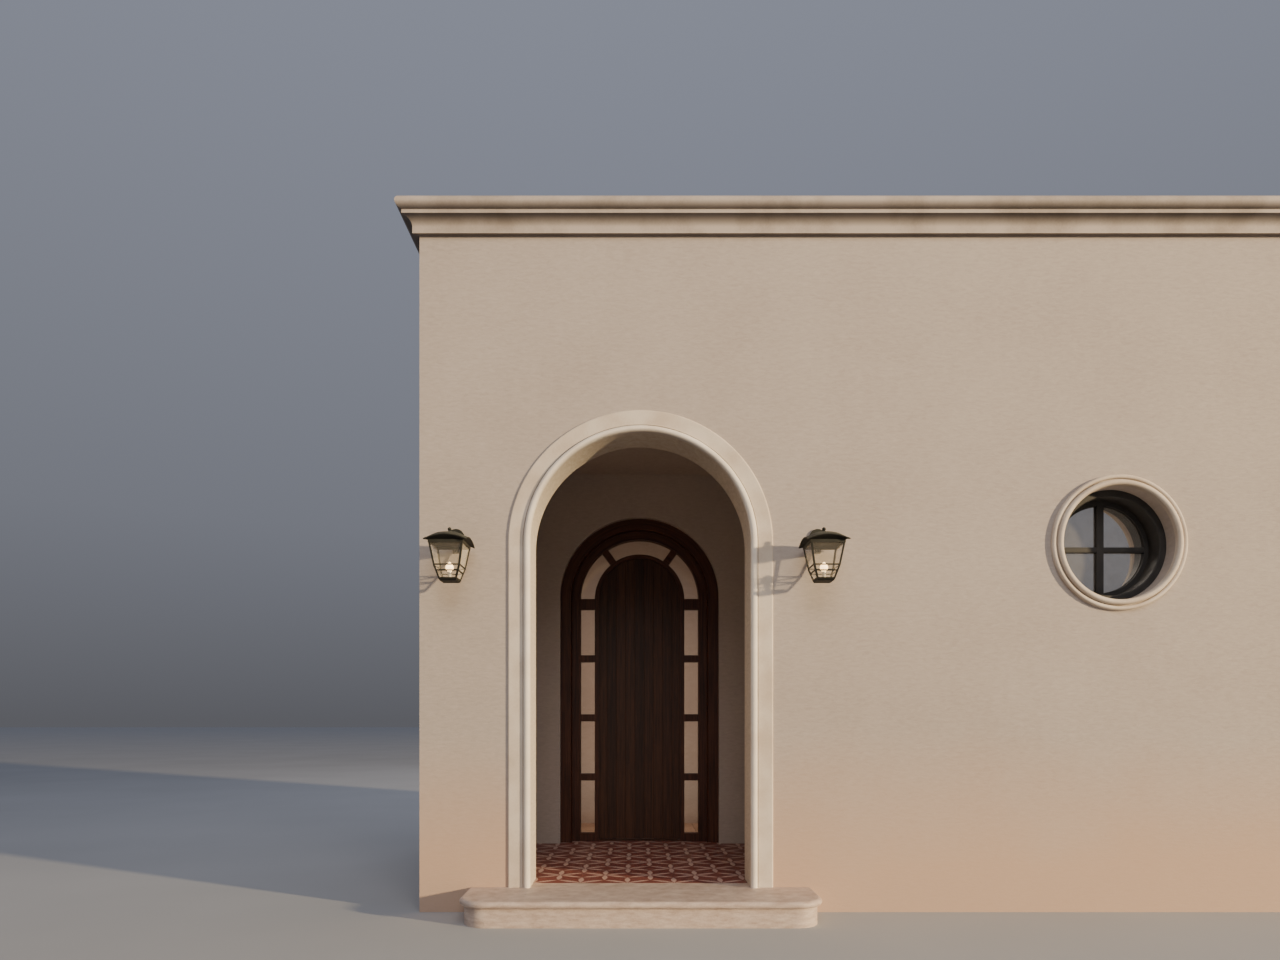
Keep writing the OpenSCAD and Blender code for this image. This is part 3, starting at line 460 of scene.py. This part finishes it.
# zinc-plated steel screws: a dull blue-grey metal with stained patches
zinc = {"dark": "#4c4a47", "light": "#83817d", "stain": 5}
zincSteel, tree, coords = newMaterial("zincPlatedSteel")
stain = addNode(tree, "TexNoise", {"Vector": coords, "Scale": perMetre(zinc["stain"]), "Detail": 4})
colour = addNode(tree, "ValToRGB", {"Fac": stain, "stops": [(0.3, zinc["dark"]), (0.7, zinc["light"])]})
dull = addNode(tree, "MapRange", {"Value": stain, "From Min": 0.3, "From Max": 0.7, "To Min": 0.35,
                                  "To Max": 0.6})
shader = addNode(tree, "BsdfPrincipled", {"Base Color": colour, "Metallic": 1.0, "Roughness": dull})
addNode(tree, "OutputMaterial", {"Surface": shader})
print("materials made")


def newPiece(name, bm, materials, body="building", smoothAngle=None):
    mesh = bpy.data.meshes.new(name)
    bm.to_mesh(mesh)
    bm.free()
    for material in materials:
        mesh.materials.append(material)
    if smoothAngle:
        mesh.shade_smooth()
        mesh.set_sharp_from_angle(angle=math.radians(smoothAngle))
    piece = bpy.data.objects.new(name, mesh)
    bpy.context.scene.collection.objects.link(piece)
    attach(piece, body)
    return piece


def cutAway(bm, point, normal):
    # takes off what lies on the side that the normal points to, and closes the cut
    cut = bmesh.ops.bisect_plane(bm, geom=bm.verts[:] + bm.edges[:] + bm.faces[:], dist=1e-6, plane_co=point,
                                 plane_no=normal, clear_outer=True)["geom_cut"]
    bmesh.ops.holes_fill(bm, edges=[e for e in cut if isinstance(e, bmesh.types.BMEdge)], sides=0)


def layTiles(name, areas, tile, material):
    # whole tiles on a lattice, cut square where each area ends
    field = bmesh.new()
    columnStep = tile["pitch"] * (math.sqrt(3) / 2 if tile["sides"] == 6 else 1)
    across = tile["pitch"] - tile["joint"]
    radius = across / 2 / math.cos(math.pi / tile["sides"])
    for x0, y0, x1, y1 in areas:
        patch = bmesh.new()
        firstColumn = math.floor((x0 - tile["x"]) / columnStep)
        for column in range(firstColumn, math.ceil((x1 - tile["x"]) / columnStep) + 1):
            lift = tile["pitch"] / 2 if tile["sides"] == 6 and column % 2 else 0
            firstRow = math.floor((y0 - tile["y"] - lift) / tile["pitch"])
            for row in range(firstRow, math.ceil((y1 - tile["y"] - lift) / tile["pitch"]) + 1):
                place = (tile["x"] + column * columnStep, tile["y"] + lift + row * tile["pitch"], tile["z"])
                made = bmesh.ops.create_circle(
                    patch, cap_ends=True, segments=tile["sides"], radius=radius,
                    matrix=Matrix.Translation(place) @ Matrix.Rotation(math.pi / tile["sides"], 4, "Z"))
                top = made["verts"][0].link_faces[0]
                if top.normal.z < 0:
                    top.normal_flip()
                raised = bmesh.ops.extrude_face_region(patch, geom=[top])
                lid = [v for v in raised["geom"] if isinstance(v, bmesh.types.BMVert)]
                bmesh.ops.translate(patch, verts=lid, vec=(0, 0, tile["thick"]))
                rim = [e for e in raised["geom"] if isinstance(e, bmesh.types.BMEdge)]
                bmesh.ops.bevel(patch, geom=rim, offset=tile["ease"], affect="EDGES", segments=1, profile=0.5,
                                material=-1)
        for point, normal in (((x0, 0, 0), (-1, 0, 0)), ((x1, 0, 0), (1, 0, 0)),
                              ((0, y0, 0), (0, -1, 0)), ((0, y1, 0), (0, 1, 0))):
            cutAway(patch, point, normal)
        holding = bpy.data.meshes.new("patch")
        patch.to_mesh(holding)
        patch.free()
        field.from_mesh(holding)
        bpy.data.meshes.remove(holding)
    bmesh.ops.recalc_face_normals(field, faces=field.faces)
    return newPiece(name, field, [material])


# what each floor takes up between its walls: low x, low y, high x, high y
areas = {"porch": [(-1.225, 0.32, 1.225, 2.098), (-0.768, 0.152, 0.768, 0.32), (-0.75, 2.098, 0.75, 2.159),
                   (-0.646, 2.159, 0.646, 2.249)],
         "hall": [(-1.224, 2.383, 4.57, 3.677)],
         "room": [(1.43, 0.323, 4.57, 2.383)],
         "terrace": [(-1.222, 0.325, 4.568, 3.675)]}
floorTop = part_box("porch_floor")[1][2]
hexTile = {"sides": 6, "pitch": leafLength, "joint": 0.0016, "thick": 0.0009, "ease": 0.0006,
           "x": pattern["starX"], "y": pattern["starY"], "z": floorTop}
layTiles("porchTiles", areas["porch"], hexTile, tilePaint)
clayTile = {"sides": 4, "pitch": 0.33, "joint": 0.006, "thick": 0.003, "ease": 0.0015, "x": 0.1, "y": 0.2,
            "z": floorTop, "dark": "#ac8a72", "light": "#d3b79e", "speck": 8, "cloud": 180, "roughness": 0.5}
claySet = firedTile("handmadeClayTile", clayTile)
layTiles("hallTiles", areas["hall"], clayTile, claySet)
layTiles("roomTiles", areas["room"], clayTile, claySet)
paver = {"sides": 4, "pitch": 0.5, "joint": 0.006, "thick": 0.03, "ease": 0.004, "x": 0.2, "y": 0.3,
         "z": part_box("terrace_slab")[1][2], "dark": "#9c9082", "light": "#c4b8a8", "speck": 8, "cloud": 180,
         "roughness": 0.85}
layTiles("terracePavers", areas["terrace"], paver, firedTile("sandedConcretePaver", paver))
print("tiles laid")


def copyNode(name):
    # a merged copy of a node's mesh, with its flat faces whole again
    bm = bmesh.new()
    bm.from_mesh(nodes[name].data)
    bmesh.ops.remove_doubles(bm, verts=bm.verts, dist=1e-5)
    bmesh.ops.dissolve_limit(bm, angle_limit=math.radians(1), verts=bm.verts, edges=bm.edges)
    return bm


# the leaf: boards side by side, each with its edges eased to a vee on both faces
leaf = copyNode("door_leaf")
grooves = [leafLow[0] + boardWidth * i for i in range(1, planks["count"])]
for grooveX in grooves:
    for step in (-planks["groove"] / 2, 0, planks["groove"] / 2):
        bmesh.ops.bisect_plane(leaf, geom=leaf.verts[:] + leaf.edges[:] + leaf.faces[:], dist=1e-6,
                               plane_co=(grooveX + step, 0, 0), plane_no=(1, 0, 0))
for grooveX in grooves:
    for face, sink in ((leafLow[1], planks["depth"]), (leafHigh[1], -planks["depth"])):
        vee = [v for v in leaf.verts if abs(v.co.x - grooveX) < 1e-4 and abs(v.co.y - face) < 1e-4]
        bmesh.ops.translate(leaf, verts=vee, vec=(0, sink, 0))
bmesh.ops.recalc_face_normals(leaf, faces=leaf.faces)
leafBoards = newPiece("leafBoards", leaf, [plankOak], "leaf")
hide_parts("door_leaf")


def glazingBeads(name, nodeName, bead, material):
    # a strip around each pane on both faces of the glass, chamfered down to it
    bm = copyNode(nodeName)
    edgeFaces = [f for f in bm.faces if abs(f.normal.y) < 0.5]
    bmesh.ops.delete(bm, geom=edgeFaces, context="FACES")
    for pane in bm.faces[:]:
        out = 1 if pane.normal.y > 0 else -1
        raised = bmesh.ops.extrude_face_region(bm, geom=[pane])
        lid = next(f for f in raised["geom"] if isinstance(f, bmesh.types.BMFace))
        bmesh.ops.translate(bm, verts=lid.verts[:], vec=(0, out * bead["height"], 0))
        block = {pane} | {f for e in lid.edges for f in e.link_faces}
        bmesh.ops.recalc_face_normals(bm, faces=list(block))
        bmesh.ops.inset_region(bm, faces=[lid], thickness=bead["width"] * 0.45, use_even_offset=True)
        bmesh.ops.inset_region(bm, faces=[lid], thickness=bead["width"] * 0.55, depth=-bead["height"] * 0.9,
                               use_even_offset=True)
        rims = pane.edges[:] + lid.edges[:]
        bmesh.ops.delete(bm, geom=[pane, lid], context="FACES_ONLY")
        bmesh.ops.bridge_loops(bm, edges=rims)
    bmesh.ops.recalc_face_normals(bm, faces=bm.faces)
    return newPiece(name, bm, [material])


doorBead = {"width": 0.005, "height": 0.008}
windowBead = {"width": 0.005, "height": 0.006}
glazingBeads("doorBeads", "door_glass", doorBead, frameOak)
glazingBeads("windowBeads", "window_glass", windowBead, windowCoat)

# the level bar of the round window, in two lengths between the upright and the rim
windowBar = {"height": 0.04, "ease": 0.004, "z": 2.582, "rim": 0.3192, "upright": 0.0248, "inset": 0.002}
sashLow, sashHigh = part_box("window_sash")
windowX = (sashLow[0] + sashHigh[0]) / 2
bars = bmesh.new()
for side in (-1, 1):
    length = windowBar["rim"] - windowBar["upright"]
    middle = windowX + side * (windowBar["rim"] + windowBar["upright"]) / 2
    made = bmesh.ops.create_cube(bars, size=1, matrix=Matrix.Translation(
        (middle, (sashLow[1] + sashHigh[1]) / 2, windowBar["z"])) @ Matrix.Diagonal(
        (length, sashHigh[1] - sashLow[1] - 2 * windowBar["inset"], windowBar["height"], 1)))
    level = [e for v in made["verts"] for e in v.link_edges if abs(e.verts[0].co.x - e.verts[1].co.x) > 0.1]
    bmesh.ops.bevel(bars, geom=list(set(level)), offset=windowBar["ease"], affect="EDGES", segments=2,
                    profile=0.5, material=-1)
newPiece("windowBar", bars, [windowCoat], smoothAngle=30)
print("door and window detailed")

# lanterns: a spun bulb in its holder in place of the plain one; outlines are radius and height in metres
bulb = {"skin": [(0.0, 0.056), (0.0125, 0.056), (0.015, 0.06), (0.023, 0.068), (0.0268, 0.079),
                 (0.0266, 0.088), (0.0232, 0.098), (0.017, 0.107), (0.009, 0.115), (0.0035, 0.12),
                 (0.0, 0.1215)],
        "holder": [(0.0, 0.0), (0.018, 0.0), (0.018, 0.005), (0.0128, 0.007), (0.0128, 0.036),
                   (0.0136, 0.038), (0.0136, 0.041), (0.0128, 0.043), (0.0136, 0.046), (0.0128, 0.049),
                   (0.0136, 0.052), (0.0125, 0.056), (0.0, 0.056)]}


def spunPiece(name, outline, foot, material, smoothAngle):
    # turns an outline once round the upright axis at its foot
    bm = bmesh.new()
    made = [bm.verts.new((foot[0] + radius, foot[1], foot[2] + z)) for radius, z in outline]
    line = [bm.edges.new(pair) for pair in zip(made, made[1:])]
    bmesh.ops.spin(bm, geom=made + line, cent=foot, axis=(0, 0, 1), angle=math.tau, steps=32,
                   use_merge=True, use_duplicate=False)
    bmesh.ops.remove_doubles(bm, verts=bm.verts, dist=1e-6)
    bmesh.ops.recalc_face_normals(bm, faces=bm.faces)
    return newPiece(name, bm, [material], smoothAngle=smoothAngle)


for side in ("left", "right"):
    low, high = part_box(f"{side}_lantern_bulb")
    foot = ((low[0] + high[0]) / 2, (low[1] + high[1]) / 2, low[2])
    lit = spunPiece(f"{side}Bulb", bulb["skin"], foot, opalGlass, 60)
    spunPiece(f"{side}LampHolder", bulb["holder"], foot, porcelain, 35)
    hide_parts(f"{side}_lantern_bulb")
    # the roof is one pressed sheet, so its facets are shaded as a curve
    sheet = bmesh.new()
    sheet.from_mesh(nodes[f"{side}_lantern_roof"].data)
    bmesh.ops.remove_doubles(sheet, verts=sheet.verts, dist=1e-5)
    bmesh.ops.recalc_face_normals(sheet, faces=sheet.faces)
    roof = newPiece(f"{side}Roof", sheet, [lanternCoat], smoothAngle=28)
    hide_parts(f"{side}_lantern_roof")


def screwHeads(name, places, out, head, body="building"):
    # pan-head screws: a disc with its rim rounded over and a round drive sunk in the middle
    bm = bmesh.new()
    for place in places:
        made = bmesh.ops.create_circle(
            bm, cap_ends=True, segments=16, radius=head["radius"],
            matrix=Matrix.Translation(place) @ Matrix.Rotation(math.radians(-90 * out), 4, "X"))
        raised = bmesh.ops.extrude_face_region(bm, geom=[made["verts"][0].link_faces[0]])
        lid = [v for v in raised["geom"] if isinstance(v, bmesh.types.BMVert)]
        bmesh.ops.translate(bm, verts=lid, vec=(0, out * head["height"], 0))
        top = next(f for f in raised["geom"] if isinstance(f, bmesh.types.BMFace))
        bmesh.ops.inset_region(bm, faces=[top], thickness=head["radius"] * 0.5, depth=0)
        bmesh.ops.inset_region(bm, faces=[top], thickness=head["height"] * 0.2, depth=-head["height"] * 0.5)
        rim = [e for v in lid for e in v.link_edges if e.other_vert(v) in lid]
        bmesh.ops.bevel(bm, geom=list(set(rim)), offset=head["height"] * 0.6, affect="EDGES", segments=2,
                        profile=0.5, material=-1)
    bmesh.ops.recalc_face_normals(bm, faces=bm.faces)
    return newPiece(name, bm, [zincSteel], body, smoothAngle=40)


plateScrew = {"radius": 0.0045, "height": 0.0022, "apart": 0.043, "z": 2.621, "y": -0.012}
for side in ("left", "right"):
    low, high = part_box(f"{side}_lantern_bracket")
    middle = (low[0] + high[0]) / 2
    screwHeads(f"{side}PlateScrews", [(middle + turn * plateScrew["apart"], plateScrew["y"], plateScrew["z"])
                                      for turn in (-1, 1)], -1, plateScrew)
hingeScrew = {"radius": 0.0035, "height": 0.0014, "face": 2.338, "length": 0.1, "pin": -0.407,
              "rows": (0.014, 0.05, 0.086), "knuckle": 0.005}
jambLow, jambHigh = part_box("door_hinges")
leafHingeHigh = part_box("leaf_hinges")[1]
hingeStep = (jambHigh[2] - hingeScrew["length"] - jambLow[2]) / 2
heights = [jambLow[2] + i * hingeStep + row for i in range(3) for row in hingeScrew["rows"]]
for name, edge, turn, body in (("jambHingeScrews", jambLow[0], -1, "building"),
                               ("leafHingeScrews", leafHingeHigh[0], 1, "leaf")):
    x = (edge + hingeScrew["pin"] + turn * hingeScrew["knuckle"]) / 2
    screwHeads(name, [(x, hingeScrew["face"], z) for z in heights], 1, hingeScrew, body)
print("lanterns and screws made")

# a plain pale floor under a soft sky that is brightest overhead
studioFloor = {"size": 150, "dapple": 2500, "dark": "#a6a7a9", "light": "#adaeb0"}
floorMesh = bmesh.new()
bmesh.ops.create_grid(floorMesh, x_segments=1, y_segments=1, size=studioFloor["size"])
floorData = bpy.data.meshes.new("floor")
floorMesh.to_mesh(floorData)
floorMesh.free()
floor = bpy.data.objects.new("floor", floorData)
bpy.context.scene.collection.objects.link(floor)
floorPaint, tree, coords = newMaterial("matteStudioFloor")
dapple = addNode(tree, "TexNoise", {"Vector": coords, "Scale": perMetre(studioFloor["dapple"]), "Detail": 3})
colour = addNode(tree, "ValToRGB", {"Fac": dapple, "stops": [
    (0.3, studioFloor["dark"]), (0.7, studioFloor["light"])]})
shader = addNode(tree, "BsdfPrincipled", {"Base Color": colour, "Roughness": 0.95})
addNode(tree, "OutputMaterial", {"Surface": shader})
floorData.materials.append(floorPaint)

sky = {"low": "#94959d", "middle": "#b7bbc9", "high": "#d8dff5", "strength": 0.37}
world = bpy.data.worlds.new("studio")
bpy.context.scene.world = world
world.use_nodes = True
tree = world.node_tree
tree.nodes.clear()
lookUp = addNode(tree, "SeparateXYZ", {"Vector": addNode(tree, "TexCoord", {}).outputs["Generated"]})
rising = addNode(tree, "MapRange", {"Value": lookUp.outputs["Z"], "From Min": 0.0, "From Max": 0.7})
dome = addNode(tree, "ValToRGB", {"Fac": rising, "stops": [
    (0.0, sky["low"]), (0.3, sky["middle"]), (1.0, sky["high"])]})
ambient = addNode(tree, "Background", {"Color": dome, "Strength": sky["strength"]})
addNode(tree, "OutputWorld", {"Surface": ambient})


def areaLight(name, lamp):
    data = bpy.data.lights.new(name, "AREA")
    data.size = lamp["size"]
    if "height" in lamp:
        data.shape = "RECTANGLE"
        data.size_y = lamp["height"]
    data.energy = lamp["power"]
    data.color = toLinear(lamp["colour"])[:3]
    light = bpy.data.objects.new(name, data)
    bpy.context.scene.collection.objects.link(light)
    light.visible_camera = False
    light.location = lamp["place"]
    light.rotation_euler = (Vector(lamp["aim"]) - Vector(lamp["place"])).to_track_quat("-Z", "Y").to_euler()


# one warm low sun from the right, soft lights before and behind, and a lamp in the hall
areaLight("lowSun", {"place": (55.5, -30.3, 11.1), "aim": (0.9, 0, 2.4), "size": 2.0, "power": 73000,
                     "colour": "#ffe4b4"})
areaLight("frontSky", {"place": (1.0, -11, 11), "aim": (0, 0, 2.0), "size": 8, "power": 860,
                       "colour": "#f1eae2"})
areaLight("backSky", {"place": (2, 15, 10), "aim": (1.7, 4, 2.4), "size": 8, "power": 480,
                      "colour": "#e4e7f2"})
areaLight("hallLamp", {"place": (0, 2.6, 1.5), "aim": (0, 3.68, 1.5), "size": 0.8, "height": 2.2,
                       "power": 17, "colour": "#ffe8d4"})
print("studio lit")
